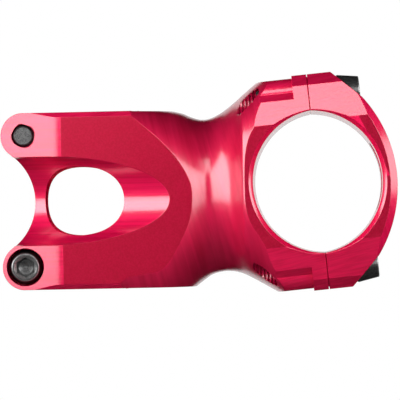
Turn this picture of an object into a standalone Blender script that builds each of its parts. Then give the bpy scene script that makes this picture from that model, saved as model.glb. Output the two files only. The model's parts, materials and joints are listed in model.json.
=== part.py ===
"""A handlebar stem: a machined body, its faceplate, six M5 bolts and their washers.

Metres, +Z up. The origin is on the steerer axis at the clamp's lower face, +X points forward to the
handlebar and +Y to the rider's left. A second frame, the bar frame, has its origin on the plane where
the faceplate meets the body, u along the extension (forward and slightly up) and v square to it.
"""

import math

import bmesh
import bpy
from mathutils import Matrix, Vector

# Driving dimensions
REACH = 0.050  # steerer axis to the centre of a fitted bar
RISE = math.radians(5.0)
STEERER_RADIUS = 0.0143  # 28.6 mm steerer tube
BAR_RADIUS = 0.0159  # 31.8 mm handlebar
BAR_GAP = 0.003  # faceplate gap with a bar fitted
CLAMP_HEIGHT = 0.0395
SIDE = 0.0173  # half the steerer clamp's width
BAR_SIDE = 0.025  # half the bar clamp's width
BAR_TALL = 0.024  # half the bar clamp's height at the split
AXIS_DROP = 0.0011  # the extension line crosses the steerer axis this far under mid height
TOUCH = 0.0003  # clearance kept between touching pieces
PAST = 0.002  # how far a cutter runs past the face it opens
FAR = 0.030  # how far a cutter reaches on the side that only meets air

MIDDLE = CLAMP_HEIGHT / 2
AXIS_Z = MIDDLE - AXIS_DROP
SPLIT_X = REACH - BAR_GAP / 2 * math.cos(RISE)
SPLIT_Z = AXIS_Z + SPLIT_X * math.tan(RISE)
BAR_OFFSET = BAR_GAP / 2  # each half bore's centre lies this far past the split

# Steerer clamp
BLOCK_BACK = -0.027  # the clamp's square stock, cut rounder by the rear notch
BLOCK_FRONT = 0.028
BLOCK_CHAMFER = 0.0011
BORE_CHAMFER = 0.0006
TAPER_X = -0.010  # behind this the clamp's sides bend inwards
TAPER = math.radians(12.0)
LUG_RADIUS = 0.0051
LUG_X = -0.0171
LUG_Z = MIDDLE - LUG_RADIUS + 0.00002  # a lug's centre above or below mid height
NOTCH_APEX = -0.0151
SLOT = 0.0012  # half the rear slot's width
SLOT_END = -0.010

# Side scoops: a straight round cutter that runs in at a shallow angle from the tip to the back
SCOOP_RADIUS = 0.0099
SCOOP_TIP = 0.0154
SCOOP_ANGLE = math.radians(21.0)  # between the scoop's floor and the side face
SCOOP_BEFORE = 0.006  # how far the cutter reaches in front of the tip and behind it, along itself
SCOOP_BEHIND = 0.050

# The neck's loft: x, half width, top and bottom from mid height, and the section's exponent above and
# below the extension line (2 is an ellipse, a high value a box)
NECK = (
    (0.0000, 0.0206, 0.0216, -0.0250, 9.0, 5.0),
    (0.0045, 0.0196, 0.0213, -0.0242, 8.0, 3.5),
    (0.0093, 0.0190, 0.0206, -0.0240, 4.95, 3.5),
    (0.0137, 0.0185, 0.0201, -0.0234, 3.5, 3.7),
    (0.0180, 0.01775, 0.0193, -0.0216, 2.8, 3.05),
    (0.0204, 0.0173, 0.0183, -0.0200, 2.5, 2.8),
    (0.0225, 0.0169, 0.01775, -0.0184, 2.4, 2.5),
    (0.0245, 0.0167, 0.0180, -0.0171, 2.35, 2.4),
    (0.0270, 0.0173, 0.0192, -0.0165, 2.6, 2.35),
    (0.0290, 0.0188, 0.0206, -0.0165, 3.1, 2.4),
    (0.0305, 0.0211, 0.0218, -0.0168, 3.3, 2.45),
    (0.0320, 0.0248, 0.0231, -0.01735, 3.4, 2.5),
    (0.0360, 0.0262, 0.0264, -0.0195, 4.0, 3.3),
    (0.0440, 0.0285, 0.0329, -0.0241, 5.0, 5.6),
)
NECK_BACK = -0.026
NECK_FRONT = 0.056
NECK_RINGS = 30
NECK_SIDES = 64

# Bar clamp
FLAT = 0.0136  # the side face is flat to this height, and slopes inwards beyond it
SLOPE = math.radians(15.0)
EDGE_V = 0.0216  # where the slope meets the corner facet
EDGE_Y = 0.0200  # where the corner facet meets the top
FLANGE = 0.0034  # the flange beside the split keeps the full height
RELIEF_V = 0.01875
RELIEF_LEDGE = 0.0015
RELIEF_TOP = 0.02345
RELIEF_ROUND = 0.0032
BAR_CHAMFER = 0.0009
CLAMP_BACK = -0.027
RELIEF_DROP = 0.003  # how far the ledge's cutter runs on below the ledge

# Faceplate
PLATE_FRONT = 0.020
FACET_U = 0.0053
FACET_END = (0.0115, 0.0179)
CROWN_RADIUS = 0.0295
CROWN_U = -0.0119
CROWN_CHAMFER = 0.0015
WINDOW_Y = 0.0085
WINDOW_V = 0.0075
WINDOW_ROUND = 0.003
WINDOW_BACK = 0.005

# Bolts and washers
BOLT_RADIUS = 0.00235
HEAD_RADIUS = 0.00385
HEAD_TOP_RADIUS = 0.00315
HEAD_HEIGHT = 0.005
HEX = 0.004
HEX_DEPTH = 0.0026
THREAD_RADIUS = BOLT_RADIUS + 0.00025
CLEARANCE_RADIUS = 0.0028
SINK_RADIUS = 0.0042
WASHER_THICK = 0.0006
BAR_BOLT_Y = 0.0188
BAR_BOLT_V = 0.0193
BAR_BOLT_HEAD = 0.0064
BAR_BOLT_LENGTH = 0.018
STEERER_BOLT_HEAD = 0.0106
STEERER_BOLT_LENGTH = 0.026
SEAT = -WASHER_THICK - 2 * TOUCH  # the washer's seat, below the head's underside
THREAD_END = -0.035  # every threaded hole runs out through the far side
CLEARANCE_END = -0.010

ROUND_STEPS = 64
BOLT_STEPS = 32

XZ_PLANE = Matrix(((1, 0, 0), (0, 0, -1), (0, 1, 0))).to_4x4()  # outline x, y to world x, z
YZ_PLANE = Matrix(((0, 0, 1), (1, 0, 0), (0, 1, 0))).to_4x4()  # outline x, y to world y, z
ALONG_X = Matrix.Rotation(math.pi / 2, 4, "Y")
ALONG_Y = Matrix.Rotation(-math.pi / 2, 4, "X")
BAR_FRAME = Matrix.Translation((SPLIT_X, 0, SPLIT_Z)) @ Matrix.Rotation(-RISE, 4, "Y")
MID_FRAME = Matrix.Translation((0, 0, MIDDLE))


def clear_scene():
    for thing in list(bpy.data.objects):
        bpy.data.objects.remove(thing, do_unlink=True)


def new_collection(name):
    group = bpy.data.collections.new(name)
    bpy.context.scene.collection.children.link(group)
    return group


def new_material(name, colour, roughness, metallic):
    material = bpy.data.materials.new(name)
    material.use_nodes = True
    shader = material.node_tree.nodes["Principled BSDF"]
    shader.inputs["Base Color"].default_value = (*colour, 1.0)
    shader.inputs["Roughness"].default_value = roughness
    shader.inputs["Metallic"].default_value = metallic
    return material


def add_object(name, data, group, matrix):
    thing = bpy.data.objects.new(name, data)
    thing.matrix_world = matrix
    group.objects.link(thing)
    return thing


def mark_cutter(thing):
    thing.hide_render = True
    thing.display_type = "WIRE"
    return thing


def arc(centre, radius, start, end, count):
    """Points on an arc, angles in degrees, both ends included."""
    angles = [math.radians(start + (end - start) * i / count) for i in range(count + 1)]
    return [(centre[0] + radius * math.cos(a), centre[1] + radius * math.sin(a)) for a in angles]


def curve_mesh(name, curve, group, matrix):
    """The mesh of a curve, closed, in an object that takes the curve's place."""
    holder = add_object(name + "_curve", curve, group, matrix)
    bpy.context.view_layer.update()
    evaluated = holder.evaluated_get(bpy.context.evaluated_depsgraph_get())
    mesh = bpy.data.meshes.new_from_object(evaluated)
    mesh.name = name
    shape = bmesh.new()
    shape.from_mesh(mesh)
    bmesh.ops.remove_doubles(shape, verts=shape.verts, dist=1e-6)
    bmesh.ops.recalc_face_normals(shape, faces=shape.faces)
    shape.to_mesh(mesh)
    shape.free()
    bpy.data.objects.remove(holder, do_unlink=True)
    return add_object(name, mesh, group, matrix)


def prism(name, outline, low, high, plane, group):
    """A flat outline in the given plane, extruded from low to high along the plane's normal."""
    curve = bpy.data.curves.new(name, "CURVE")
    curve.dimensions = "2D"
    curve.fill_mode = "BOTH"
    curve.extrude = (high - low) / 2
    spline = curve.splines.new("POLY")
    spline.points.add(len(outline) - 1)
    for point, (a, b) in zip(spline.points, outline):
        point.co = (a, b, 0, 1)
    spline.use_cyclic_u = True
    middle = Matrix.Translation((0, 0, (low + high) / 2))
    return curve_mesh(name, curve, group, plane @ middle)


def turned(name, profile, steps, group, matrix):
    """A profile of (radius, height) points, top first, turned about the local Z axis."""
    mesh = bpy.data.meshes.new(name)
    points = [(radius, 0, height) for radius, height in profile]
    mesh.from_pydata(points, [(i, i + 1) for i in range(len(points) - 1)], [])
    thing = add_object(name, mesh, group, matrix)
    screw = thing.modifiers.new("turn", "SCREW")
    screw.steps = steps
    screw.render_steps = steps
    screw.use_merge_vertices = True
    screw.merge_threshold = 1e-6
    return thing


def combine(thing, operand, operation="DIFFERENCE"):
    boolean = thing.modifiers.new(operand.name, "BOOLEAN")
    boolean.operation = operation
    boolean.solver = "EXACT"
    boolean.object = operand


def baked_mesh(thing, name):
    """The object's mesh with its modifiers applied."""
    bpy.context.view_layer.update()
    evaluated = thing.evaluated_get(bpy.context.evaluated_depsgraph_get())
    mesh = bpy.data.meshes.new_from_object(evaluated)
    mesh.name = name
    return mesh


def smooth(mesh):
    mesh.shade_smooth()
    mesh.set_sharp_from_angle(angle=math.radians(25))


def superellipse(half_width, top, bottom, power_up, power_down, sides):
    """A section's points (y, height): its upper half reaches top, its lower half bottom."""
    points = []
    for i in range(sides):
        angle = 2 * math.pi * (i + 0.5) / sides
        across, up = math.cos(angle), math.sin(angle)
        power = power_up if up > 0 else power_down
        reach = top if up > 0 else -bottom
        radius = (abs(across / half_width) ** power + abs(up / reach) ** power) ** (-1 / power)
        points.append((radius * across, radius * up))
    return points


def smooth_between(rows, x):
    """The rows' values at x, along a cubic through them whose slopes come from the neighbours."""
    last = len(rows) - 1
    i = max(j for j in range(last) if rows[j][0] <= x or j == 0)
    a, b = rows[i], rows[i + 1]
    span = b[0] - a[0]
    t = (x - a[0]) / span
    before = rows[max(i - 1, 0)]
    after = rows[min(i + 2, last)]
    values = []
    for p, q, r, s in zip(before[1:], a[1:], b[1:], after[1:]):
        slope_a = (r - p) / (b[0] - before[0]) * span
        slope_b = (s - q) / (after[0] - a[0]) * span
        rise = (2 * t**3 - 3 * t**2 + 1) * q + (t**3 - 2 * t**2 + t) * slope_a
        values.append(rise + (3 * t**2 - 2 * t**3) * r + (t**3 - t**2) * slope_b)
    return values


def neck_section(x):
    """The loft's section at x: straight before the first row and past the last one."""
    first, last, before_last = NECK[0], NECK[-1], NECK[-2]
    if x <= first[0]:
        return list(first[1:])
    if x < last[0]:
        return smooth_between(NECK, x)
    past = (x - last[0]) / (last[0] - before_last[0])
    return [q + (q - p) * past for p, q in zip(before_last[1:], last[1:])]


def neck_loft(group):
    """The rounded stock that every flat is milled from: boxy at the back, waisted, flared in front."""
    start, end = NECK[0][0], NECK[-1][0]
    stations = [NECK_BACK] + [start + (end - start) * i / NECK_RINGS for i in range(NECK_RINGS + 1)]
    stations.append(NECK_FRONT)
    shape = bmesh.new()
    rings = []
    for x in stations:
        half_width, top, bottom, power_up, power_down = neck_section(x)
        centre = max(x, 0) * math.tan(RISE) - AXIS_DROP
        reach_up, reach_down = top - centre, bottom - centre
        outline = superellipse(half_width, reach_up, reach_down, power_up, power_down, NECK_SIDES)
        rings.append([shape.verts.new((x, y, MIDDLE + centre + z)) for y, z in outline])
    for ring, following in zip(rings, rings[1:]):
        for i in range(NECK_SIDES):
            j = (i + 1) % NECK_SIDES
            shape.faces.new((ring[i], ring[j], following[j], following[i]))
    shape.faces.new(rings[0])
    shape.faces.new(rings[-1])
    bmesh.ops.recalc_face_normals(shape, faces=shape.faces)
    mesh = bpy.data.meshes.new("stem_body")
    shape.to_mesh(mesh)
    shape.free()
    return add_object("stem_body", mesh, group, Matrix.Identity(4))


def clamp_outline():
    """The bar clamp seen from the front: flat sides, sloped ends and a corner facet."""
    edge_y = BAR_SIDE - (EDGE_V - FLAT) * math.tan(SLOPE)
    quarter = [(BAR_SIDE, FLAT), (edge_y, EDGE_V), (EDGE_Y, BAR_TALL)]
    upper = quarter + [(-y, v) for y, v in reversed(quarter)]
    return upper + [(y, -v) for y, v in reversed(upper)]


def billet(group):
    """The milled outer faces: the steerer clamp's block joined to the bar clamp's."""
    inner, low = SIDE - BLOCK_CHAMFER, MIDDLE - BLOCK_CHAMFER
    quarter = [(SIDE, low), (inner, MIDDLE)]
    upper = quarter + [(-y, z) for y, z in reversed(quarter)]
    section = upper + [(y, -z) for y, z in reversed(upper)]
    block = prism("billet", section, BLOCK_BACK, BLOCK_FRONT, MID_FRAME @ YZ_PLANE, group)
    bar = prism("bar_block", clamp_outline(), CLAMP_BACK, -TOUCH / 2, BAR_FRAME @ YZ_PLANE, group)
    combine(block, mark_cutter(bar), "UNION")
    return mark_cutter(block)


def relief(side, group):
    """Milled step over the whole top (side 1) or bottom (side -1), behind the flange."""
    edge_y = BAR_SIDE - (RELIEF_V - FLAT) * math.tan(SLOPE)
    round_y = edge_y - RELIEF_LEDGE - RELIEF_ROUND
    round_v = RELIEF_TOP - RELIEF_ROUND
    half = [(edge_y + RELIEF_DROP, RELIEF_V - RELIEF_DROP)]
    half.append((edge_y - RELIEF_LEDGE, RELIEF_V + RELIEF_LEDGE))
    half += arc((round_y, round_v), RELIEF_ROUND, 0, 90, 6)
    outline = half + [(-y, v) for y, v in reversed(half)]
    outline += [(-FAR, half[0][1]), (-FAR, FAR), (FAR, FAR), (FAR, half[0][1])]
    outline = [(y, side * v) for y, v in outline]
    name = "relief_top" if side > 0 else "relief_bottom"
    place = BAR_FRAME @ YZ_PLANE
    return mark_cutter(prism(name, outline, CLAMP_BACK - PAST, -FLANGE, place, group))


def rear_cutter(group):
    """Leaves two round lugs with a round notch between them, each arc tangent to the next."""
    rise = LUG_X - NOTCH_APEX
    notch = (rise**2 + LUG_Z**2 - LUG_RADIUS**2) / (2 * (LUG_RADIUS - rise))
    centre = NOTCH_APEX - notch
    tangent = math.degrees(math.atan2(LUG_Z, LUG_X - centre))
    outline = [(LUG_X, FAR)]
    outline += arc((LUG_X, LUG_Z), LUG_RADIUS, 90, 180 + tangent, 14)
    outline += arc((centre, 0), notch, tangent, -tangent, 20)[1:-1]
    outline += arc((LUG_X, -LUG_Z), LUG_RADIUS, 180 - tangent, 270, 14)
    outline += [(LUG_X, -FAR), (LUG_X - FAR, -FAR), (LUG_X - FAR, FAR)]
    return mark_cutter(prism("rear_notch", outline, -FAR, FAR, MID_FRAME @ XZ_PLANE, group))


def taper_cutter(side, group):
    """Leans one side face inwards behind the taper line."""
    end = TAPER_X - FAR
    outline = [(TAPER_X, SIDE), (end, SIDE - FAR * math.tan(TAPER)), (end, FAR), (TAPER_X, FAR)]
    outline = [(x, side * y) for x, y in outline]
    name = "taper_left" if side > 0 else "taper_right"
    return mark_cutter(prism(name, outline, -PAST, CLAMP_HEIGHT + PAST, Matrix.Identity(4), group))


def scoop_cutter(side, group):
    """A straight round cutter whose floor enters the side face at the scoop's tip."""
    turn = Matrix.Rotation(side * SCOOP_ANGLE, 4, "Z")
    tip = Matrix.Translation((SCOOP_TIP, side * SIDE, MIDDLE))
    place = tip @ turn @ Matrix.Translation((0, side * SCOOP_RADIUS, 0)) @ ALONG_X
    profile = [(0, SCOOP_BEFORE), (SCOOP_RADIUS, SCOOP_BEFORE)]
    profile += [(SCOOP_RADIUS, -SCOOP_BEHIND), (0, -SCOOP_BEHIND)]
    name = "scoop_left" if side > 0 else "scoop_right"
    return mark_cutter(turned(name, profile, ROUND_STEPS, group, place))


def slot_cutter(group):
    """The slot that splits the clamp's back, so that the bolts can pinch it."""
    start = BLOCK_BACK - PAST
    outline = [(start, -SLOT), (SLOT_END, -SLOT), (SLOT_END, SLOT), (start, SLOT)]
    return mark_cutter(prism("slot", outline, -PAST, CLAMP_HEIGHT + PAST, Matrix.Identity(4), group))


def bored(name, radius, length, chamfer, steps, group, matrix):
    """A bore's cutter, centred on the local Z axis, flared at both mouths."""
    half = length / 2
    mouth = radius + chamfer + PAST
    profile = [(0, half + PAST), (mouth, half + PAST), (radius, half - chamfer)]
    profile += [(radius, chamfer - half), (mouth, -half - PAST), (0, -half - PAST)]
    return mark_cutter(turned(name, profile, steps, group, matrix))


def stepped_hole(name, steps_down, group, matrix):
    """A hole's cutter from (radius, depth) pairs along local Z: each radius holds down to its depth."""
    profile = [(0, FAR)]
    for radius, depth in steps_down:
        profile += [(radius, profile[-1][1]), (radius, depth)]
    profile.append((0, profile[-1][1]))
    return mark_cutter(turned(name, profile, BOLT_STEPS, group, matrix))


def bar_bolt_places():
    for height, upright in (("upper", 1), ("lower", -1)):
        for side, across in (("left", 1), ("right", -1)):
            place = Vector((BAR_BOLT_HEAD, across * BAR_BOLT_Y, upright * BAR_BOLT_V))
            yield f"{height}_{side}", BAR_FRAME @ Matrix.Translation(place) @ ALONG_X


def steerer_bolt_places():
    """The lower bolt's head is on the right, the upper one's on the left; local Z runs out of the head."""
    for height, upright, side in (("upper", 1, 1), ("lower", -1, -1)):
        place = Matrix.Translation((LUG_X, side * STEERER_BOLT_HEAD, MIDDLE + upright * LUG_Z))
        yield height, place @ Matrix.Rotation(-side * math.pi / 2, 4, "X")


def body_holes(group):
    """Cutters of both bores, the four threads and the two stepped bolt holes across the lugs."""
    bar_bore = BAR_FRAME @ Matrix.Translation((BAR_OFFSET, 0, 0)) @ ALONG_Y
    yield bored("steerer_bore", STEERER_RADIUS, CLAMP_HEIGHT, BORE_CHAMFER, ROUND_STEPS, group, MID_FRAME)
    yield bored("rear_bore", BAR_RADIUS, 2 * BAR_SIDE, BAR_CHAMFER, 2 * ROUND_STEPS, group, bar_bore)
    for name, place in bar_bolt_places():
        yield stepped_hole("thread_" + name, [(THREAD_RADIUS, THREAD_END)], group, place)
    for name, place in steerer_bolt_places():
        depths = [(SINK_RADIUS, SEAT), (CLEARANCE_RADIUS, -STEERER_BOLT_HEAD), (THREAD_RADIUS, THREAD_END)]
        yield stepped_hole("steerer_hole_" + name, depths, group, place)


def stem_body(group, cutters):
    body = neck_loft(group)
    combine(body, billet(cutters), "INTERSECT")
    tools = [relief(1, cutters), relief(-1, cutters), rear_cutter(cutters), slot_cutter(cutters)]
    for side in (1, -1):
        tools += [taper_cutter(side, cutters), scoop_cutter(side, cutters)]
    for tool in tools + list(body_holes(cutters)):
        combine(body, tool)
    return body


def crown(group):
    """The coin that rounds the faceplate's front, chamfered on both rims."""
    profile = [(0, BAR_SIDE), (CROWN_RADIUS - CROWN_CHAMFER, BAR_SIDE)]
    profile += [(CROWN_RADIUS, BAR_SIDE - CROWN_CHAMFER), (CROWN_RADIUS, CROWN_CHAMFER - BAR_SIDE)]
    profile += [(CROWN_RADIUS - CROWN_CHAMFER, -BAR_SIDE), (0, -BAR_SIDE)]
    place = BAR_FRAME @ Matrix.Translation((CROWN_U, 0, 0)) @ ALONG_Y
    return mark_cutter(turned("crown", profile, 3 * ROUND_STEPS, group, place))


def facet_cutter(side, group):
    """The slanted facet on the faceplate's top (side 1) or bottom (side -1), under the bolt heads."""
    fall = (FACET_END[1] - BAR_TALL) / (FACET_END[0] - FACET_U)
    near, end = FACET_U - PAST, FACET_END[0] + PAST
    low = BAR_TALL + (end - FACET_U) * fall
    outline = [(near, BAR_TALL - PAST * fall), (end, low), (FAR, low), (FAR, FAR), (near, FAR)]
    outline = [(u, side * v) for u, v in outline]
    name = "facet_top" if side > 0 else "facet_bottom"
    return mark_cutter(prism(name, outline, -FAR, FAR, BAR_FRAME @ XZ_PLANE, group))


def window_cutter(group):
    """The round-cornered opening through the faceplate's middle."""
    corner_y, corner_v = WINDOW_Y - WINDOW_ROUND, WINDOW_V - WINDOW_ROUND
    outline = []
    for quarter, (y, v) in enumerate(((1, 1), (-1, 1), (-1, -1), (1, -1))):
        start = 90 * quarter
        outline += arc((y * corner_y, v * corner_v), WINDOW_ROUND, start, start + 90, 6)
    return mark_cutter(prism("window", outline, WINDOW_BACK, FAR, BAR_FRAME @ YZ_PLANE, group))


def faceplate(group, cutters):
    plate = prism("faceplate", clamp_outline(), TOUCH / 2, PLATE_FRONT, BAR_FRAME @ YZ_PLANE, group)
    combine(plate, crown(cutters), "INTERSECT")
    place = BAR_FRAME @ Matrix.Translation((-BAR_OFFSET, 0, 0)) @ ALONG_Y
    bore = bored("front_bore", BAR_RADIUS, 2 * BAR_SIDE, BAR_CHAMFER, 2 * ROUND_STEPS, cutters, place)
    tools = [facet_cutter(1, cutters), facet_cutter(-1, cutters), bore, window_cutter(cutters)]
    for name, place in bar_bolt_places():
        depths = [(SINK_RADIUS, SEAT), (CLEARANCE_RADIUS, CLEARANCE_END)]
        tools.append(stepped_hole("sink_" + name, depths, cutters, place))
    for tool in tools:
        combine(plate, tool)
    return plate


def bolt_mesh(name, length, cutters):
    """A cap screw with a conical head, its head's underside at the local origin."""
    edge, tip = 0.0003, 0.0008
    profile = [(0, HEAD_HEIGHT), (HEAD_TOP_RADIUS - edge, HEAD_HEIGHT)]
    profile += [(HEAD_TOP_RADIUS, HEAD_HEIGHT - edge), (HEAD_RADIUS, edge), (HEAD_RADIUS, 0)]
    profile += [(BOLT_RADIUS, 0), (BOLT_RADIUS, tip - length), (BOLT_RADIUS - tip, -length)]
    profile.append((0, -length))
    bolt = turned(name, profile, BOLT_STEPS, cutters, Matrix.Identity(4))
    hexagon = arc((0, 0), HEX / math.sqrt(3), 30, 330, 5)
    floor, top = HEAD_HEIGHT - HEX_DEPTH, HEAD_HEIGHT + PAST
    socket = prism(name + "_socket", hexagon, floor, top, Matrix.Identity(4), cutters)
    combine(bolt, socket)
    mesh = baked_mesh(bolt, name)
    smooth(mesh)
    for thing in (bolt, socket):
        bpy.data.objects.remove(thing, do_unlink=True)
    return mesh


def washer_mesh(cutters):
    """A flat ring, its upper face just under the bolt head's."""
    top, bottom = -TOUCH, -TOUCH - WASHER_THICK
    inner, outer = BOLT_RADIUS + TOUCH, HEAD_RADIUS
    profile = [(inner, bottom), (inner, top), (outer, top), (outer, bottom), (inner, bottom)]
    ring = turned("washer", profile, BOLT_STEPS, cutters, Matrix.Identity(4))
    mesh = baked_mesh(ring, "washer")
    smooth(mesh)
    bpy.data.objects.remove(ring, do_unlink=True)
    return mesh


def fasteners(group, cutters, steel, zinc):
    washer = washer_mesh(cutters)
    washer.materials.append(zinc)
    sets = (
        ("faceplate", BAR_BOLT_LENGTH, bar_bolt_places()),
        ("steerer", STEERER_BOLT_LENGTH, steerer_bolt_places()),
    )
    for kind, length, places in sets:
        bolt = bolt_mesh(kind + "_bolt", length, cutters)
        bolt.materials.append(steel)
        for name, place in places:
            add_object(f"{kind}_bolt_{name}", bolt, group, place)
            add_object(f"{kind}_washer_{name}", washer, group, place)


def main():
    clear_scene()
    group = new_collection("handlebar_stem")
    cutters = new_collection("cutters")
    red = new_material("red_anodised", (0.52, 0.010, 0.055), 0.28, 1.0)
    steel = new_material("black_steel", (0.030, 0.030, 0.032), 0.35, 1.0)
    zinc = new_material("washer_steel", (0.35, 0.35, 0.36), 0.35, 1.0)
    for thing in (stem_body(group, cutters), faceplate(group, cutters)):
        thing.data.materials.append(red)
        smooth(thing.data)
    fasteners(group, cutters, steel, zinc)


main()
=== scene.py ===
"""The looks of a handlebar stem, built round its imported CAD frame.

Metres, +Z up, in the frame's axes: the origin is on the steerer axis at the clamp's lower face, +X runs
forward to the handlebar. The body and the faceplate are machined again here from finer stock, with real
threads, eased edges and tool marks, and the bolts and washers are turned in full detail.
"""

import json
import math

import bmesh
import bpy
from mathutils import Matrix, Vector

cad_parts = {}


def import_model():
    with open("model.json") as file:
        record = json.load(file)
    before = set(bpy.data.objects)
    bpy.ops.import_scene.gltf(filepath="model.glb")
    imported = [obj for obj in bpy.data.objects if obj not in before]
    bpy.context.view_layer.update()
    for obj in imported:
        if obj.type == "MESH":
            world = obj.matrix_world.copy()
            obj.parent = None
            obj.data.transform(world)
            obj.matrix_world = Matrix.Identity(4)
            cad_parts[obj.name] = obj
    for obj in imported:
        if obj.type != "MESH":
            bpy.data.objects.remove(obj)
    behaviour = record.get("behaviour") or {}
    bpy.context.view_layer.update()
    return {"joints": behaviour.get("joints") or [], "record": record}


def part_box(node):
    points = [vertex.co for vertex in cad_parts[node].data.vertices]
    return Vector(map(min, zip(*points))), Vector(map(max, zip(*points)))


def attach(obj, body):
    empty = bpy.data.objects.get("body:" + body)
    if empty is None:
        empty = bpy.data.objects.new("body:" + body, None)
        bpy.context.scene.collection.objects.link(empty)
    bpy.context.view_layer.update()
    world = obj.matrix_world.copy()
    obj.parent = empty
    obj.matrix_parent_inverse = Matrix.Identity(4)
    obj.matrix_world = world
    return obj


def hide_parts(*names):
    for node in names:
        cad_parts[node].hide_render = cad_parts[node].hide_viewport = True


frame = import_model()
JOINTS = {joint["name"]: joint for joint in frame["joints"]}
MOUNTS = {mount["name"]: mount for mount in frame["record"]["mounts"]}

# Places read from the frame
FORWARD = Vector(JOINTS["faceplate_slide"]["axis"])
RISE = math.atan2(FORWARD.z, FORWARD.x)
CLAMP_HEIGHT = MOUNTS["upper_face"]["pos_m"][2]
MIDDLE = CLAMP_HEIGHT / 2
BAR_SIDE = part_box("faceplate")[1].y
LUG = Vector(JOINTS["steerer_bolt_upper_turn"]["pos_m"])
LUG_X, LUG_Z = LUG.x, LUG.z - MIDDLE
STEERER_BOLT_HEAD = LUG.y

# Sizes shared with the CAD model: u runs along the extension and v across it, from the split between
# body and faceplate, and y is to the left
REACH = 0.050
BAR_GAP = 0.003  # the split's gap with a handlebar in place
AXIS_DROP = 0.0011  # how far the extension's line starts below mid height
SPLIT_X = REACH - BAR_GAP / 2 * math.cos(RISE)
SPLIT_Z = MIDDLE - AXIS_DROP + SPLIT_X * math.tan(RISE)
TOUCH = 0.0003  # the gap that touching pieces have in the CAD model
SPLIT_GAP = 0.00001  # the joint between body and faceplate, drawn up tight
GROOVE_WIDTH, GROOVE_DEPTH = 0.00018, 0.0006
GROOVE_PAST = 1.1  # the groove's cutter is larger than the clamp by this share
STEERER_RADIUS = 0.0143
BAR_RADIUS = 0.0159
SIDE = 0.0173
BAR_TALL = 0.024
BLOCK_BACK, BLOCK_FRONT = -0.027, 0.028
BLOCK_CHAMFER = 0.0011
BORE_CHAMFER = 0.0006
TAPER_X, TAPER, TAPER_BEND = -0.010, math.radians(12.0), 0.014
LUG_RADIUS = 0.0051
NOTCH_APEX = -0.0151
SLOT, SLOT_END = 0.0012, -0.010
SCOOP_RADIUS, SCOOP_TIP, SCOOP_ANGLE = 0.0099, 0.0154, math.radians(21.0)
SCOOP_BEFORE, SCOOP_BEHIND = 0.006, 0.050
FLAT, SLOPE = 0.0136, math.radians(15.0)
EDGE_V, EDGE_Y = 0.0216, 0.0200
FLANGE = 0.0034
RELIEF_V, RELIEF_LEDGE, RELIEF_TOP, RELIEF_ROUND = 0.01875, 0.0015, 0.02345, 0.0032
RELIEF_DROP = 0.003
BAR_CHAMFER = 0.0009
CLAMP_BACK = -0.027
PLATE_FRONT = 0.020
FACET_U, FACET_END = 0.0053, (0.0115, 0.0179)
CROWN_RADIUS, CROWN_U, CROWN_CHAMFER = 0.0295, -0.0119, 0.0015
WINDOW_Y, WINDOW_V, WINDOW_ROUND, WINDOW_BACK = 0.0085, 0.0075, 0.003, 0.005

# The neck's loft: x, half width, top and bottom from mid height, and the section's exponent above and
# below the extension line (2 is an ellipse, a high value a box)
NECK = (
    (0.0000, 0.0206, 0.0216, -0.0250, 9.0, 5.0),
    (0.0045, 0.0196, 0.0213, -0.0242, 8.0, 3.5),
    (0.0093, 0.0190, 0.0206, -0.0240, 4.95, 3.5),
    (0.0137, 0.0185, 0.0201, -0.0234, 3.5, 3.7),
    (0.0180, 0.01775, 0.0193, -0.0216, 2.8, 3.05),
    (0.0204, 0.0173, 0.0183, -0.0200, 2.5, 2.8),
    (0.0225, 0.0169, 0.01775, -0.0184, 2.4, 2.5),
    (0.0245, 0.0167, 0.0180, -0.0171, 2.35, 2.4),
    (0.0270, 0.0173, 0.0192, -0.0165, 2.6, 2.35),
    (0.0290, 0.0188, 0.0206, -0.0165, 3.1, 2.4),
    (0.0305, 0.0211, 0.0218, -0.0168, 3.3, 2.45),
    (0.0320, 0.0248, 0.0231, -0.01735, 3.4, 2.5),
    (0.0360, 0.0262, 0.0264, -0.0195, 4.0, 3.3),
    (0.0440, 0.0285, 0.0329, -0.0241, 5.0, 5.6),
)
NECK_BACK, NECK_FRONT = -0.026, 0.056
NECK_RINGS, NECK_SIDES = 110, 240

# Bolts, threads and washers
PITCH = 0.0008
BOLT_CREST, BOLT_ROOT = 0.00235, 0.00200
HOLE_CREST, HOLE_ROOT = 0.00250, 0.00285
CLEARANCE_RADIUS = 0.0028
SINK_RADIUS = 0.0042
HEAD_RADIUS, HEAD_TOP_RADIUS, HEAD_HEIGHT = 0.00385, 0.00315, 0.005
HEAD_EDGE, PLAIN_NECK, TIP = 0.0003, 0.0012, 0.0008
HEX, HEX_DEPTH, HEX_EASE = 0.004, 0.0026, 0.0003
DRILL_RADIUS = 0.0016
WASHER_THICK, WASHER_EASE = 0.0006, 0.00008
SEAT = -WASHER_THICK - 2 * TOUCH
THREAD_END = -0.035
CLEARANCE_END = -0.010
BAR_BOLT_LENGTH, STEERER_BOLT_LENGTH = 0.018, 0.026

# Fineness of the meshes and reach of the cutters
ROUND_STEPS = 256
SMALL_STEPS = 64
PAST = 0.002  # how far a cutter reaches beyond its stock
FAR = 0.030  # beyond every face of the stem across the cut
EASE = 0.00009  # how much every machined edge is eased
MERGE_BEFORE, MERGE_AFTER = 0.00006, 0.00003  # closer points than this are merged, round the easing
CORNER = math.radians(12.0)  # faces of one cut that meet at more than this have an edge between them
SHARP_MACHINED, SHARP_TURNED = math.radians(50), math.radians(30)  # shading breaks above these angles

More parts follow.
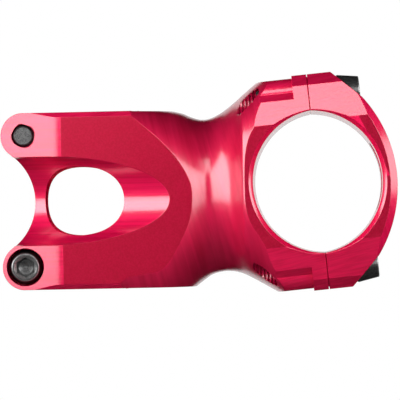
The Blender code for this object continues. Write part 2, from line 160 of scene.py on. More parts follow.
XZ_PLANE = Matrix(((1, 0, 0), (0, 0, -1), (0, 1, 0))).to_4x4()
YZ_PLANE = Matrix(((0, 0, 1), (1, 0, 0), (0, 1, 0))).to_4x4()
ALONG_X = Matrix.Rotation(math.pi / 2, 4, "Y")
ALONG_Y = Matrix.Rotation(-math.pi / 2, 4, "X")
BAR_FRAME = Matrix.Translation((SPLIT_X, 0, SPLIT_Z)) @ Matrix.Rotation(-RISE, 4, "Y")
MID_FRAME = Matrix.Translation((0, 0, MIDDLE))
IDENTITY = Matrix.Identity(4)


# ---------------------------------------------------------------- mesh tools


def object_from(name, mesh, matrix=IDENTITY):
    thing = bpy.data.objects.new(name, mesh)
    thing.matrix_world = matrix
    bpy.context.scene.collection.objects.link(thing)
    return thing


def solid(name, rings, material, matrix=IDENTITY):
    """A closed mesh through rings of points, its two end rings filled."""
    shape = bmesh.new()
    made = [[shape.verts.new(point) for point in ring] for ring in rings]
    for ring, following in zip(made, made[1:]):
        for i in range(len(ring)):
            j = (i + 1) % len(ring)
            shape.faces.new((ring[i], ring[j], following[j], following[i]))
    shape.faces.new(made[0])
    shape.faces.new(made[-1])
    bmesh.ops.recalc_face_normals(shape, faces=shape.faces)
    mesh = bpy.data.meshes.new(name)
    shape.to_mesh(mesh)
    shape.free()
    mesh.materials.append(material)
    return object_from(name, mesh, matrix)


def prism(name, outline, low, high, plane, material):
    """A flat outline in the given plane, extruded from low to high along the plane's normal."""
    rings = [[(a, b, height) for a, b in outline] for height in (low, high)]
    return solid(name, rings, material, plane)


def turned(name, profile, steps, matrix, material):
    """A solid of (radius, height) rings about the local Z axis."""
    circle = [(math.cos(a), math.sin(a)) for a in (2 * math.pi * i / steps for i in range(steps))]
    rings = [[(radius * c, radius * s, height) for c, s in circle] for radius, height in profile]
    return solid(name, rings, material, matrix)


def arc(centre, radius, start, end, count):
    """Points on an arc, angles in degrees, both ends included."""
    angles = [math.radians(start + (end - start) * i / count) for i in range(count + 1)]
    return [(centre[0] + radius * math.cos(a), centre[1] + radius * math.sin(a)) for a in angles]


def combine(thing, cutter, operation="DIFFERENCE"):
    """Cuts, joins or intersects a solid with another, which is used up; faces keep their material."""
    for material in cutter.data.materials:
        if material.name not in thing.data.materials:
            thing.data.materials.append(material)
    boolean = thing.modifiers.new(cutter.name, "BOOLEAN")
    boolean.operation = operation
    boolean.solver = "MANIFOLD"
    boolean.object = cutter
    bake(thing)
    bpy.data.objects.remove(cutter, do_unlink=True)


def bake(thing):
    """Applies the object's modifiers to its mesh."""
    bpy.context.view_layer.update()
    evaluated = thing.evaluated_get(bpy.context.evaluated_depsgraph_get())
    mesh = bpy.data.meshes.new_from_object(evaluated)
    thing.modifiers.clear()
    thing.data = mesh


def edges_to_ease(shape, thread_slot):
    """Edges outside threads where two cuts meet: faces of two materials, or faces at an angle."""
    for edge in shape.edges:
        if len(edge.link_faces) != 2:
            continue
        one, other = edge.link_faces
        if thread_slot in (one.material_index, other.material_index):
            continue
        if one.material_index != other.material_index or edge.calc_face_angle(0) > CORNER:
            yield edge


def cleaned(thing, merge):
    """Merges points closer than that, drops faces without area and keeps all inside the stock's sides.
    Faces are merged as triangles, then joined again, or a merge could close a hole in a big one."""
    shape = bmesh.new()
    shape.from_mesh(thing.data)
    origin = shape.faces.layers.int.new("origin")
    for number, face in enumerate(shape.faces):
        face[origin] = number
    bmesh.ops.triangulate(shape, faces=[face for face in shape.faces if len(face.verts) > 4])
    bmesh.ops.remove_doubles(shape, verts=shape.verts, dist=merge)
    bmesh.ops.dissolve_degenerate(shape, edges=shape.edges, dist=merge / 2)
    pairs = [(edge, edge.link_faces) for edge in shape.edges if len(edge.link_faces) == 2]
    inner = [edge for edge, (one, other) in pairs if one[origin] == other[origin]]
    bmesh.ops.dissolve_edges(shape, edges=inner, use_verts=False, use_face_split=False)
    shape.faces.layers.int.remove(origin)
    for vertex in shape.verts:
        vertex.co.y = min(max(vertex.co.y, -BAR_SIDE), BAR_SIDE)
    shape.to_mesh(thing.data)
    shape.free()


def mark_edges(thing):
    """Weights every machined edge for the bevel."""
    shape = bmesh.new()
    shape.from_mesh(thing.data)
    weight = shape.edges.layers.float.new("bevel_weight_edge")
    thread_slot = thing.data.materials.find(THREADED.name)
    for edge in edges_to_ease(shape, thread_slot):
        edge[weight] = 1.0
    shape.to_mesh(thing.data)
    shape.free()


def eased(thing):
    """Eases every machined edge and keeps the flats flat in the shading."""
    cleaned(thing, MERGE_BEFORE)
    mark_edges(thing)
    bevel = thing.modifiers.new("ease", "BEVEL")
    bevel.width = EASE
    bevel.segments = 2
    bevel.limit_method = "WEIGHT"
    bevel.use_clamp_overlap = False
    bevel.loop_slide = False
    bevel.face_strength_mode = "FSTR_AFFECTED"
    bake(thing)
    cleaned(thing, MERGE_AFTER)
    thing.data.shade_smooth()
    thing.data.set_sharp_from_angle(angle=SHARP_MACHINED)
    weighted = thing.modifiers.new("flats", "WEIGHTED_NORMAL")
    weighted.mode = "FACE_AREA"
    weighted.keep_sharp = True
    weighted.weight = 100
    weighted.use_face_influence = True
    bake(thing)


# ---------------------------------------------------------------- materials

NOISE_SPAN, TINT_SPAN = (0.3, 0.7), (0.35, 0.65)
RED_DARK, RED_LIGHT = (0.76, 0.003, 0.070), (0.92, 0.005, 0.098)
RED_ROUGHNESS, COAT_ROUGHNESS, COAT_IOR = (0.54, 0.62), (0.14, 0.26), 2.1
RED_METAL, STEEL_METAL = 0.7, 0.85
SPECKLE_SIZE, SPECKLE_DEPTH, CLOUD_SIZE = 0.00022, 0.0000015, 0.006
BLOTCH_SIZE, PIT_SIZE = 0.0004, 0.00012

def new_material(name):
    """A material with nodes, its node tree and its shader."""
    material = bpy.data.materials.new(name)
    material.use_nodes = True
    return material, material.node_tree, material.node_tree.nodes["Principled BSDF"]


def grain(tree, size, turn=0.0, detail=3.0, distortion=0.0):
    """Noise whose features have the given size in metres along each axis, turned about Y by degrees."""
    nodes, links = tree.nodes, tree.links
    place = nodes.new("ShaderNodeTexCoord")
    stretch = nodes.new("ShaderNodeMapping")
    stretch.vector_type = "TEXTURE"
    stretch.inputs["Scale"].default_value = size
    stretch.inputs["Rotation"].default_value = (0, math.radians(turn), 0)
    noise = nodes.new("ShaderNodeTexNoise")
    noise.inputs["Scale"].default_value = 1.0
    noise.inputs["Detail"].default_value = detail
    noise.inputs["Distortion"].default_value = distortion
    links.new(place.outputs["Object"], stretch.inputs["Vector"])
    links.new(stretch.outputs["Vector"], noise.inputs["Vector"])
    return noise.outputs["Fac"]


def spread(tree, value, low, high):
    """The noise's usual span, remapped to run from low to high."""
    remap = tree.nodes.new("ShaderNodeMapRange")
    remap.inputs["From Min"].default_value = NOISE_SPAN[0]
    remap.inputs["From Max"].default_value = NOISE_SPAN[1]
    remap.inputs["To Min"].default_value = low
    remap.inputs["To Max"].default_value = high
    tree.links.new(value, remap.inputs["Value"])
    return remap.outputs["Result"]


def tint(tree, value, dark, light):
    """A colour that runs from dark to light with the value."""
    ramp = tree.nodes.new("ShaderNodeValToRGB")
    for end, position, colour in zip(ramp.color_ramp.elements, TINT_SPAN, (dark, light)):
        end.position = position
        end.color = (*colour, 1)
    tree.links.new(value, ramp.inputs["Fac"])
    return ramp.outputs["Color"]


def relieved(tree, marks):
    """A normal bumped by (height, depth) pairs, one after another."""
    normal = None
    for height, depth in marks:
        bump = tree.nodes.new("ShaderNodeBump")
        bump.inputs["Strength"].default_value = 1.0
        bump.inputs["Distance"].default_value = depth
        tree.links.new(height, bump.inputs["Height"])
        if normal:
            tree.links.new(normal, bump.inputs["Normal"])
        normal = bump.outputs["Normal"]
    return normal


def anodised(name, marks, depth, turn=0.0, distortion=0.0, coat=1.0, hue_and_painted_shade=(1, 1, 1)):
    """Red anodised aluminium: dyed metal under a clear, glossy oxide, with one direction of tool marks.
    marks is their size along each axis; the last argument multiplies the dye's red, green and blue,
    partly for the finish's own hue and partly as painted shade that darkens a kind of face where it
    gets less light."""
    material, tree, shader = new_material(name)
    lines = grain(tree, marks, turn, distortion=distortion)
    speckle = grain(tree, (SPECKLE_SIZE,) * 3, detail=2.0)
    clouds = grain(tree, (CLOUD_SIZE,) * 3)
    dark, light = ([part * share for part, share in zip(red, hue_and_painted_shade)] for red in (RED_DARK, RED_LIGHT))
    tree.links.new(tint(tree, lines, dark, light), shader.inputs["Base Color"])
    tree.links.new(spread(tree, clouds, *RED_ROUGHNESS), shader.inputs["Roughness"])
    tree.links.new(spread(tree, speckle, *COAT_ROUGHNESS), shader.inputs["Coat Roughness"])
    normal = relieved(tree, ((lines, depth), (speckle, SPECKLE_DEPTH)))
    tree.links.new(normal, shader.inputs["Normal"])
    tree.links.new(normal, shader.inputs["Coat Normal"])
    shader.inputs["Metallic"].default_value = RED_METAL
    shader.inputs["Specular IOR Level"].default_value = 0.0
    shader.inputs["Coat Weight"].default_value = coat
    shader.inputs["Coat IOR"].default_value = COAT_IOR
    return material


def steel(name, value, roughness, depth):
    """Bare or blackened steel with a fine, uneven grain."""
    material, tree, shader = new_material(name)
    blotches = grain(tree, (BLOTCH_SIZE,) * 3)
    speckle = grain(tree, (PIT_SIZE,) * 3, detail=2.0)
    dark, light = ([value * share] * 3 for share in (0.7, 1.3))
    tree.links.new(tint(tree, blotches, dark, light), shader.inputs["Base Color"])
    tree.links.new(spread(tree, speckle, roughness * 0.8, roughness * 1.2), shader.inputs["Roughness"])
    normal = relieved(tree, ((blotches, depth), (speckle, depth / 3)))
    tree.links.new(normal, shader.inputs["Normal"])
    shader.inputs["Metallic"].default_value = STEEL_METAL
    return material


MILL_MARKS = ((0.0012, 0.02, 0.02), 0.000012, -15, 0.4)
# The last three numbers of each call are partly hue and mostly painted shade: they darken the red of
# the flats, neck, taper faces and scoops for how little light those faces get.
BLASTED = anodised("anodised_blasted", (0.0004,) * 3, 0.000005, coat=0.3, hue_and_painted_shade=(0.44, 1.0, 0.35))
MILLED = anodised("anodised_milled", *MILL_MARKS, coat=0.9, hue_and_painted_shade=(0.76, 2, 0.76))
TURNED = anodised("anodised_turned", *MILL_MARKS, coat=0.75)
FACED = anodised("anodised_faced", (0.01, 0.01, 0.0005), 0.000003, coat=0.7, hue_and_painted_shade=(0.8, 0.8, 0.8))
SCOOPED = anodised("anodised_scooped", (0.04, 0.04, 0.0004), 0.000008, hue_and_painted_shade=(0.85, 0.85, 0.85))
SLOPED = anodised("anodised_sloped", (0.006, 0.006, 0.00045), 0.000026, -12, 0.5, hue_and_painted_shade=(1, 2, 1))
BORED = anodised("anodised_bored", (0.02, 0.0003, 0.0003), 0.000003)
# The threads' red is halved as painted shade inside the threaded holes.
THREADED = anodised("anodised_threaded", (0.0006,) * 3, 0.000001, coat=0.7, hue_and_painted_shade=(0.5, 0.5, 0.5))
BLACK = steel("black_oxide", 0.10, 0.35, 0.000003)
# Lighter steel for the bolt heads' rims, socket mouths and socket floors: partly worn oxide, partly a
# painted highlight where those edges catch the light.
WORN_AND_GLINT = steel("worn_oxide_and_glint", 0.3, 0.32, 0.000003)
ZINC = steel("washer_steel", 0.15, 0.3, 0.000002)


# ---------------------------------------------------------------- stem body


def superellipse(half_width, top, bottom, power_up, power_down, sides):
    """A section's points (y, height): its upper half reaches top, its lower half bottom."""
    points = []
    for i in range(sides):
        angle = 2 * math.pi * (i + 0.5) / sides
        across, up = math.cos(angle), math.sin(angle)
        power = power_up if up > 0 else power_down
        reach = top if up > 0 else -bottom
        radius = (abs(across / half_width) ** power + abs(up / reach) ** power) ** (-1 / power)
        points.append((radius * across, radius * up))
    return points


def smooth_between(rows, x):
    """The rows' values at x, along a cubic through them whose slopes come from the neighbours."""
    last = len(rows) - 1
    i = max(j for j in range(last) if rows[j][0] <= x or j == 0)
    a, b = rows[i], rows[i + 1]
    span = b[0] - a[0]
    t = (x - a[0]) / span
    before = rows[max(i - 1, 0)]
    after = rows[min(i + 2, last)]
    values = []
    for p, q, r, s in zip(before[1:], a[1:], b[1:], after[1:]):
        slope_a = (r - p) / (b[0] - before[0]) * span
        slope_b = (s - q) / (after[0] - a[0]) * span
        rise = (2 * t**3 - 3 * t**2 + 1) * q + (t**3 - 2 * t**2 + t) * slope_a
        values.append(rise + (3 * t**2 - 2 * t**3) * r + (t**3 - t**2) * slope_b)
    return values


def neck_section(x):
    """The loft's section at x: straight before the first row and past the last one."""
    first, last, before_last = NECK[0], NECK[-1], NECK[-2]
    if x <= first[0]:
        return list(first[1:])
    if x < last[0]:
        return smooth_between(NECK, x)
    past = (x - last[0]) / (last[0] - before_last[0])
    return [q + (q - p) * past for p, q in zip(before_last[1:], last[1:])]


def neck_loft():
    """The rounded stock that every flat is milled from: boxy at the back, waisted, flared in front."""
    start, end = NECK[0][0], NECK[-1][0]
    stations = [NECK_BACK] + [start + (end - start) * i / NECK_RINGS for i in range(NECK_RINGS + 1)]
    rings = []
    for x in stations + [NECK_FRONT]:
        half_width, top, bottom, power_up, power_down = neck_section(x)
        centre = max(x, 0) * math.tan(RISE) - AXIS_DROP
        reach_up, reach_down = top - centre, bottom - centre
        outline = superellipse(half_width, reach_up, reach_down, power_up, power_down, NECK_SIDES)
        rings.append([(x, y, MIDDLE + centre + z) for y, z in outline])
    return solid("body", rings, MILLED)


def clamp_outline(inset=0.0):
    """The bar clamp seen from the front: flat sides, sloped ends and a corner facet."""
    edge_y = BAR_SIDE - (EDGE_V - FLAT) * math.tan(SLOPE)
    quarter = [(BAR_SIDE, FLAT), (edge_y, EDGE_V), (EDGE_Y, BAR_TALL)]
    quarter = [(y - inset, v - inset) for y, v in quarter]
    upper = quarter + [(-y, v) for y, v in reversed(quarter)]
    return upper + [(y, -v) for y, v in reversed(upper)]


def paint_slopes(thing):
    """The flat side faces are blasted; the sloped and top faces keep the mill's marks."""
    thing.data.materials.append(SLOPED)
    for face in thing.data.polygons:
        if abs(face.normal.y) < 0.99:
            face.material_index = 1


def split_groove(thing, side):
    """Breaks the outer edge of one half of the clamp where it meets the other, as a fine dark line."""
    faces = sorted((side * PAST, -side * GROOVE_WIDTH / 2))
    past = [(y * GROOVE_PAST, v * GROOVE_PAST) for y, v in clamp_outline()]
    groove = prism("groove", past, *faces, BAR_FRAME @ YZ_PLANE, BORED)
    core = prism("core", clamp_outline(GROOVE_DEPTH), -FAR, FAR, BAR_FRAME @ YZ_PLANE, BORED)
    settle(groove)
    settle(core)
    combine(groove, core)
    combine(thing, groove)


def billet():
    """The milled outer faces: the steerer clamp's block joined to the bar clamp's."""
    inner, low = SIDE - BLOCK_CHAMFER, MIDDLE - BLOCK_CHAMFER
    quarter = [(SIDE, low), (inner, MIDDLE)]
    upper = quarter + [(-y, z) for y, z in reversed(quarter)]
    section = upper + [(y, -z) for y, z in reversed(upper)]
    block = prism("block", section, BLOCK_BACK, BLOCK_FRONT, MID_FRAME @ YZ_PLANE, BLASTED)
    bar = prism("bar_block", clamp_outline(), CLAMP_BACK, -SPLIT_GAP / 2, BAR_FRAME @ YZ_PLANE, BLASTED)
    for stock in (block, bar):
        settle(stock)
        paint_slopes(stock)
    split_groove(bar, 1)
    combine(block, bar, "UNION")
    return block


def settle(thing):
    """Moves the object's place into its mesh."""
    thing.data.transform(thing.matrix_world)
    thing.matrix_world = IDENTITY


def relief(side):
    """Milled step over the whole top (side 1) or bottom (side -1), behind the flange."""
    edge_y = BAR_SIDE - (RELIEF_V - FLAT) * math.tan(SLOPE)
    round_y = edge_y - RELIEF_LEDGE - RELIEF_ROUND
    round_v = RELIEF_TOP - RELIEF_ROUND
    half = [(edge_y + RELIEF_DROP, RELIEF_V - RELIEF_DROP)]
    half += arc((round_y, round_v), RELIEF_ROUND, 0, 90, 16)
    outline = half + [(-y, v) for y, v in reversed(half)]
    outline += [(-FAR, half[0][1]), (-FAR, FAR), (FAR, FAR), (FAR, half[0][1])]
    outline = [(y, side * v) for y, v in outline]
    return prism("relief", outline, CLAMP_BACK - PAST, -FLANGE, BAR_FRAME @ YZ_PLANE, SLOPED)


def rear_cutter():
    """Leaves two round lugs with a round notch between them, each arc tangent to the next."""
    rise = LUG_X - NOTCH_APEX
    notch = (rise**2 + LUG_Z**2 - LUG_RADIUS**2) / (2 * (LUG_RADIUS - rise))
    centre = NOTCH_APEX - notch
    tangent = math.degrees(math.atan2(LUG_Z, LUG_X - centre))
    outline = [(LUG_X, FAR)]
    outline += arc((LUG_X, LUG_Z), LUG_RADIUS, 90, 180 + tangent, 60)
    outline += arc((centre, 0), notch, tangent, -tangent, 90)[1:-1]
    outline += arc((LUG_X, -LUG_Z), LUG_RADIUS, 180 - tangent, 270, 60)
    outline += [(LUG_X, -FAR), (LUG_X - FAR, -FAR), (LUG_X - FAR, FAR)]
    return prism("rear_notch", outline, -FAR, FAR, MID_FRAME @ XZ_PLANE, MILLED)


def taper_cutter(side):
    """Leans one side face inwards behind the taper line."""
    end = TAPER_X - FAR
    start = TAPER_X + TAPER_BEND * math.tan(TAPER / 2)
    outline = arc((start, SIDE - TAPER_BEND), TAPER_BEND, 90, 90 + math.degrees(TAPER), 24)
    outline += [(end, SIDE - FAR * math.tan(TAPER)), (end, FAR), (start, FAR)]
    outline = [(x, side * y) for x, y in outline]
    return prism("taper", outline, -PAST, CLAMP_HEIGHT + PAST, IDENTITY, FACED)


def scoop_cutter(side):
    """A straight round cutter whose floor enters the side face at the scoop's tip."""
    turn = Matrix.Rotation(side * SCOOP_ANGLE, 4, "Z")
    tip = Matrix.Translation((SCOOP_TIP, side * SIDE, MIDDLE))
    place = tip @ turn @ Matrix.Translation((0, side * SCOOP_RADIUS, 0)) @ ALONG_X
    profile = [(SCOOP_RADIUS, SCOOP_BEFORE), (SCOOP_RADIUS, -SCOOP_BEHIND)]
    return turned("scoop", profile, ROUND_STEPS, place, SCOOPED)


def slot_cutter():
    start = BLOCK_BACK - PAST
    outline = [(start, -SLOT), (SLOT_END, -SLOT), (SLOT_END, SLOT), (start, SLOT)]
    return prism("slot", outline, -PAST, CLAMP_HEIGHT + PAST, IDENTITY, BORED)


def bored(radius, length, chamfer, place):
    """A bore's cutter, centred on the local Z axis, flared at both mouths."""
    half = length / 2
    mouth = radius + chamfer + PAST
    profile = [(mouth, half + PAST), (radius, half - chamfer)]
    profile += [(radius, chamfer - half), (mouth, -half - PAST)]
    return turned("bore", profile, ROUND_STEPS, place, BORED)


def plain_hole(radius, top, bottom, place, material=BORED):
    return turned("hole", [(radius, top), (radius, bottom)], SMALL_STEPS, place, material)


def thread_rings(crest, root, top, bottom, steps=SMALL_STEPS, per_turn=8):
    """Rings of a screw thread about local Z: the radius runs from crest to root once every pitch."""
    count = max(1, round((top - bottom) / PITCH * per_turn))
    rings = []
    for i in range(count + 1):
        height = top + (bottom - top) * i / count
        ring = []
        for j in range(steps):
            turn = j / steps
            phase = (height / PITCH - turn) % 1.0
            radius = crest + (root - crest) * (1 - abs(2 * phase - 1))
            ring.append((radius, 2 * math.pi * turn, height))
        rings.append(ring)
    return [[(r * math.cos(a), r * math.sin(a), z) for r, a, z in ring] for ring in rings]


def threaded_hole(top, bottom, place):
    rings = thread_rings(HOLE_CREST, HOLE_ROOT, top, bottom)
    return solid("thread", rings, THREADED, place)


def bolt_place(joint):
    """A frame on a bolt's joint, its local Z along the joint's axis, out of the head."""
    axis = Vector(joint["axis"])
    turn = Vector((0, 0, 1)).rotation_difference(axis).to_matrix().to_4x4()
    return Matrix.Translation(joint["pos_m"]) @ turn


def bolt_joints(kind):
    """Name and place of each bolt of that kind."""
    for name, joint in sorted(JOINTS.items()):
        if name.startswith(kind + "_bolt_"):
            yield name.removesuffix("_turn").removeprefix(kind + "_bolt_"), bolt_place(joint)


def stem_body():
    body = neck_loft()
    combine(body, billet(), "INTERSECT")
    bar_bore = BAR_FRAME @ Matrix.Translation((BAR_GAP / 2, 0, 0)) @ ALONG_Y
    tools = [relief(1), relief(-1), rear_cutter(), slot_cutter()]
    for side in (1, -1):
        tools += [taper_cutter(side), scoop_cutter(side)]
    tools.append(bored(STEERER_RADIUS, CLAMP_HEIGHT, BORE_CHAMFER, MID_FRAME))
    tools.append(bored(BAR_RADIUS, 2 * BAR_SIDE, BAR_CHAMFER, bar_bore))
    for _, place in bolt_joints("faceplate"):
        tools.append(threaded_hole(0, THREAD_END, place))
    for _, place in bolt_joints("steerer"):
        tools.append(plain_hole(SINK_RADIUS, FAR, SEAT, place))
        tools.append(plain_hole(CLEARANCE_RADIUS, 0, -STEERER_BOLT_HEAD, place))
        tools.append(threaded_hole(-STEERER_BOLT_HEAD, THREAD_END, place))
    for tool in tools:
        combine(body, tool)
    return body


# ---------------------------------------------------------------- faceplate


def crown():
    """The coin that rounds the faceplate's front, chamfered on both rims."""
    profile = [(CROWN_RADIUS - CROWN_CHAMFER, BAR_SIDE), (CROWN_RADIUS, BAR_SIDE - CROWN_CHAMFER)]
    profile += [(radius, -height) for radius, height in reversed(profile)]
    place = BAR_FRAME @ Matrix.Translation((CROWN_U, 0, 0)) @ ALONG_Y
    return turned("crown", profile, 2 * ROUND_STEPS, place, TURNED)


def facet_cutter(side):
    """The slanted facet on the faceplate's top (side 1) or bottom (side -1), under the bolt heads."""
    fall = (FACET_END[1] - BAR_TALL) / (FACET_END[0] - FACET_U)
    near, end = FACET_U - PAST, FACET_END[0] + PAST
    low = BAR_TALL + (end - FACET_U) * fall
    outline = [(near, BAR_TALL - PAST * fall), (end, low), (FAR, low), (FAR, FAR), (near, FAR)]
    outline = [(u, side * v) for u, v in outline]
    return prism("facet", outline, -FAR, FAR, BAR_FRAME @ XZ_PLANE, SLOPED)


def window_cutter():
    """The round-cornered opening through the faceplate's middle."""
    corner_y, corner_v = WINDOW_Y - WINDOW_ROUND, WINDOW_V - WINDOW_ROUND
    outline = []
    for quarter, (y, v) in enumerate(((1, 1), (-1, 1), (-1, -1), (1, -1))):
        start = 90 * quarter
        outline += arc((y * corner_y, v * corner_v), WINDOW_ROUND, start, start + 90, 16)
    return prism("window", outline, WINDOW_BACK, FAR, BAR_FRAME @ YZ_PLANE, MILLED)


def faceplate():
    plate = prism("plate", clamp_outline(), SPLIT_GAP / 2, PLATE_FRONT, BAR_FRAME @ YZ_PLANE, BLASTED)
    settle(plate)
    paint_slopes(plate)
    split_groove(plate, -1)
    combine(plate, crown(), "INTERSECT")
    place = BAR_FRAME @ Matrix.Translation((-BAR_GAP / 2, 0, 0)) @ ALONG_Y
    tools = [facet_cutter(1), facet_cutter(-1)]
    tools += [bored(BAR_RADIUS, 2 * BAR_SIDE, BAR_CHAMFER, place), window_cutter()]
    for _, place in bolt_joints("faceplate"):
        tools.append(plain_hole(SINK_RADIUS, FAR, SEAT, place))
        tools.append(plain_hole(CLEARANCE_RADIUS, 0, CLEARANCE_END, place))
    for tool in tools:
        combine(plate, tool)
    return plate


# ---------------------------------------------------------------- bolts and washers


def circle_ring(radius, height, steps=SMALL_STEPS):
    angles = [2 * math.pi * i / steps for i in range(steps)]
    return [(radius * math.cos(a), radius * math.sin(a), height) for a in angles]


def bolt(name, length, place):
    """A cap screw with a conical head and a real thread, its head's underside at the local origin."""
    edge, top = HEAD_EDGE, HEAD_HEIGHT
    rings = [circle_ring(HEAD_TOP_RADIUS - edge, top)]
    rings += [circle_ring(r, z) for r, z in arc((HEAD_TOP_RADIUS - edge, top - edge), edge, 80, 10, 5)]
    rings += [circle_ring(HEAD_RADIUS, edge), circle_ring(HEAD_RADIUS - edge / 2, 0)]
    rings += [circle_ring(BOLT_CREST + edge / 2, 0), circle_ring(BOLT_CREST, -edge)]
    rings.append(circle_ring(BOLT_CREST, -PLAIN_NECK))
    rings += thread_rings(BOLT_CREST, BOLT_ROOT, -PLAIN_NECK - PITCH, TIP - length)
    rings += [circle_ring(BOLT_ROOT, -length + edge / 3), circle_ring(BOLT_ROOT - edge / 3, -length)]
    screw = solid(name, rings, BLACK)
    for material in (WORN_AND_GLINT, ZINC):
        screw.data.materials.append(material)
    # The rim round the head's top gets the lighter steel: worn oxide and a painted glint.
    for face in screw.data.polygons:
        if face.center.z > top - edge and face.normal.z < 0.99:
            face.material_index = 1
        elif face.center.z < edge - length and face.normal.z < -0.99:
            face.material_index = 2
    floor = top - HEX_DEPTH
    corner = HEX / math.sqrt(3)
    hexagon = arc((0, 0), corner, 30, 330, 5)
    combine(screw, prism("socket", hexagon, floor, top + PAST, IDENTITY, BLACK))
    # The socket's eased mouth and drilled floor get the lighter steel as well: worn oxide and a painted
    # glint.
    cone = [(corner + HEX_EASE + PAST, top + PAST), (corner - HEX_EASE, top - 2 * HEX_EASE)]
    combine(screw, turned("ease", cone, SMALL_STEPS, IDENTITY, WORN_AND_GLINT))
    drill = [(DRILL_RADIUS, top), (DRILL_RADIUS, floor), (edge, floor - DRILL_RADIUS / 2)]
    combine(screw, turned("drill", drill, SMALL_STEPS, IDENTITY, WORN_AND_GLINT))
    screw.data.transform(place)
    screw.data.shade_smooth()
    screw.data.set_sharp_from_angle(angle=SHARP_TURNED)
    return screw


def washer(name, place):
    """A flat ring with eased edges, just under the bolt head."""
    ease = WASHER_EASE
    inner, outer = BOLT_CREST + TOUCH, HEAD_RADIUS
    top, bottom = -TOUCH, -TOUCH - WASHER_THICK
    profile = [(inner, top - ease), (inner + ease, top), (outer - ease, top), (outer, top - ease)]
    profile += [(outer, bottom + ease), (outer - ease, bottom)]
    profile += [(inner + ease, bottom), (inner, bottom + ease)]
    shape = bmesh.new()
    rings = [[shape.verts.new(point) for point in circle_ring(r, z)] for r, z in profile]
    for ring, following in zip(rings, rings[1:] + rings[:1]):
        for i in range(len(ring)):
            j = (i + 1) % len(ring)
            shape.faces.new((ring[i], following[i], following[j], ring[j]))
    bmesh.ops.recalc_face_normals(shape, faces=shape.faces)
    mesh = bpy.data.meshes.new(name)
    shape.to_mesh(mesh)
    shape.free()
    mesh.materials.append(ZINC)
    mesh.transform(place)
    mesh.shade_smooth()
    mesh.set_sharp_from_angle(angle=SHARP_TURNED)
    return object_from(name, mesh)


# ---------------------------------------------------------------- the pieces in the frame


def put(piece, body, node):
    """Lets the piece ride on the body and stand for the CAD node."""
    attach(piece, body)
    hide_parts(node)


def build_pieces():
    for make, node, body in ((stem_body, "stem_body", "stem"), (faceplate, "faceplate", "faceplate")):
        piece = make()
        eased(piece)
        piece.name = node + "_machined"
        put(piece, body, node)
    for kind, length in (("faceplate", BAR_BOLT_LENGTH), ("steerer", STEERER_BOLT_LENGTH)):
        for name, place in bolt_joints(kind):
            node = f"{kind}_bolt_{name}"
            put(bolt(node + "_turned", length, place), node, node)
            node = f"{kind}_washer_{name}"
            body = "faceplate" if kind == "faceplate" else node
            put(washer(node + "_turned", place), body, node)


# ---------------------------------------------------------------- studio

VIEW_YAW, VIEW_PITCH, VIEW_ROLL = math.radians(1.198), math.radians(-0.25), math.radians(1.111)
VIEW_TARGET = Vector((0.02182, 0.0, 0.01943))
VIEW_DISTANCE = 1.2696
VIEW_WIDTH = 0.0903  # how much of the world the picture spans at the target
SENSOR, CLIP_END = 36.0, 20
FILL = 0.12
FLOOR_RADIUS, FLOOR_PLACE, FLOOR_STEPS = 0.28, (0.02, 0, -0.060), 96
FLOOR_GREY, FLOOR_ROUGHNESS = 0.9, 0.8

# Each light's azimuth, elevation, radiance, half width and half height in degrees, and distance
LIGHTS = {
    "left_box": (-57, 11, 3.9, 43, 15, 0.4),
    "right_box": (57, 11, 3.6, 42, 14, 0.8),
    "top_box": (0, 31, 2.6, 16, 10, 0.2),
    "low_fill": (-12, -58, 20.0, 35, 20, 0.8),
    "top_fill": (-30, 22, 6.0, 20, 15, 0.1),
    "back_wall": (180, 0, 1.0, 25, 20, 0.8),
}
NOT_REFLECTED = ("low_fill", "top_fill")


def direction(azimuth, elevation):
    """Unit vector towards a place round the object, angles in radians; azimuth 0 is the near side."""
    level = math.cos(elevation)
    return Vector((math.sin(azimuth) * level, -math.cos(azimuth) * level, math.sin(elevation)))


def facing(toward, distance):
    """A place at that distance from the view's target, turned to look at it."""
    look = (-toward).to_track_quat("-Z", "Y").to_matrix().to_4x4()
    return Matrix.Translation(VIEW_TARGET + toward * distance) @ look


def camera():
    """The photograph's view: square to the side, from far away."""
    data = bpy.data.cameras.new("camera")
    data.sensor_width = SENSOR
    data.lens = SENSOR * VIEW_DISTANCE / VIEW_WIDTH
    data.clip_end = CLIP_END
    eye = bpy.data.objects.new("camera", data)
    place = facing(direction(VIEW_YAW, VIEW_PITCH), VIEW_DISTANCE)
    eye.matrix_world = place @ Matrix.Rotation(-VIEW_ROLL, 4, "Z")
    bpy.context.scene.collection.objects.link(eye)
    bpy.context.scene.camera = eye


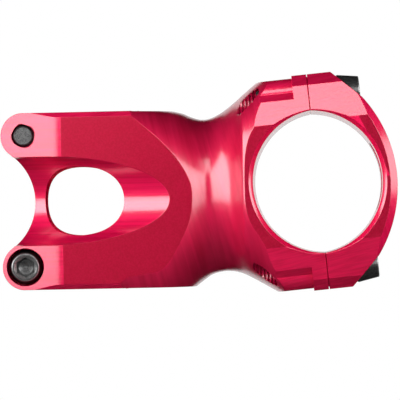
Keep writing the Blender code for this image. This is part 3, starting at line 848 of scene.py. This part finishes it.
def softbox(name, azimuth, elevation, radiance, half_width, half_height, distance):
    """A rectangular light facing the object."""
    data = bpy.data.lights.new(name, "AREA")
    data.shape = "RECTANGLE"
    data.size = 2 * distance * math.tan(math.radians(half_width))
    data.size_y = 2 * distance * math.tan(math.radians(half_height))
    data.energy = radiance * math.pi * data.size * data.size_y
    lamp = bpy.data.objects.new(name, data)
    lamp.matrix_world = facing(direction(math.radians(azimuth), math.radians(elevation)), distance)
    bpy.context.scene.collection.objects.link(lamp)
    return lamp


def floor():
    bpy.ops.mesh.primitive_circle_add(
        vertices=FLOOR_STEPS, radius=FLOOR_RADIUS, fill_type="NGON", location=FLOOR_PLACE
    )
    plane = bpy.context.object
    plane.name = "floor"
    material, _, shader = new_material("floor")
    shader.inputs["Base Color"].default_value = (FLOOR_GREY, FLOOR_GREY, FLOOR_GREY, 1)
    shader.inputs["Roughness"].default_value = FLOOR_ROUGHNESS
    plane.data.materials.append(material)
    plane.visible_glossy = False


def world():
    """White to the camera; a soft fill that only diffuse light picks up."""
    studio = bpy.data.worlds.new("studio")
    studio.use_nodes = True
    bpy.context.scene.world = studio
    studio.cycles_visibility.glossy = False
    nodes, links = studio.node_tree.nodes, studio.node_tree.links
    ambient = nodes["Background"]
    ambient.inputs["Color"].default_value = (1, 1, 1, 1)
    ambient.inputs["Strength"].default_value = FILL
    backdrop = nodes.new("ShaderNodeBackground")
    backdrop.inputs["Color"].default_value = (1, 1, 1, 1)
    backdrop.inputs["Strength"].default_value = 1.0
    path = nodes.new("ShaderNodeLightPath")
    mix = nodes.new("ShaderNodeMixShader")
    links.new(path.outputs["Is Camera Ray"], mix.inputs["Fac"])
    links.new(ambient.outputs[0], mix.inputs[1])
    links.new(backdrop.outputs[0], mix.inputs[2])
    links.new(mix.outputs[0], nodes["World Output"].inputs["Surface"])


def studio():
    camera()
    floor()
    world()
    for name, setting in LIGHTS.items():
        softbox(name, *setting).visible_glossy = name not in NOT_REFLECTED
    bpy.context.scene.view_settings.view_transform = "Standard"


build_pieces()
studio()
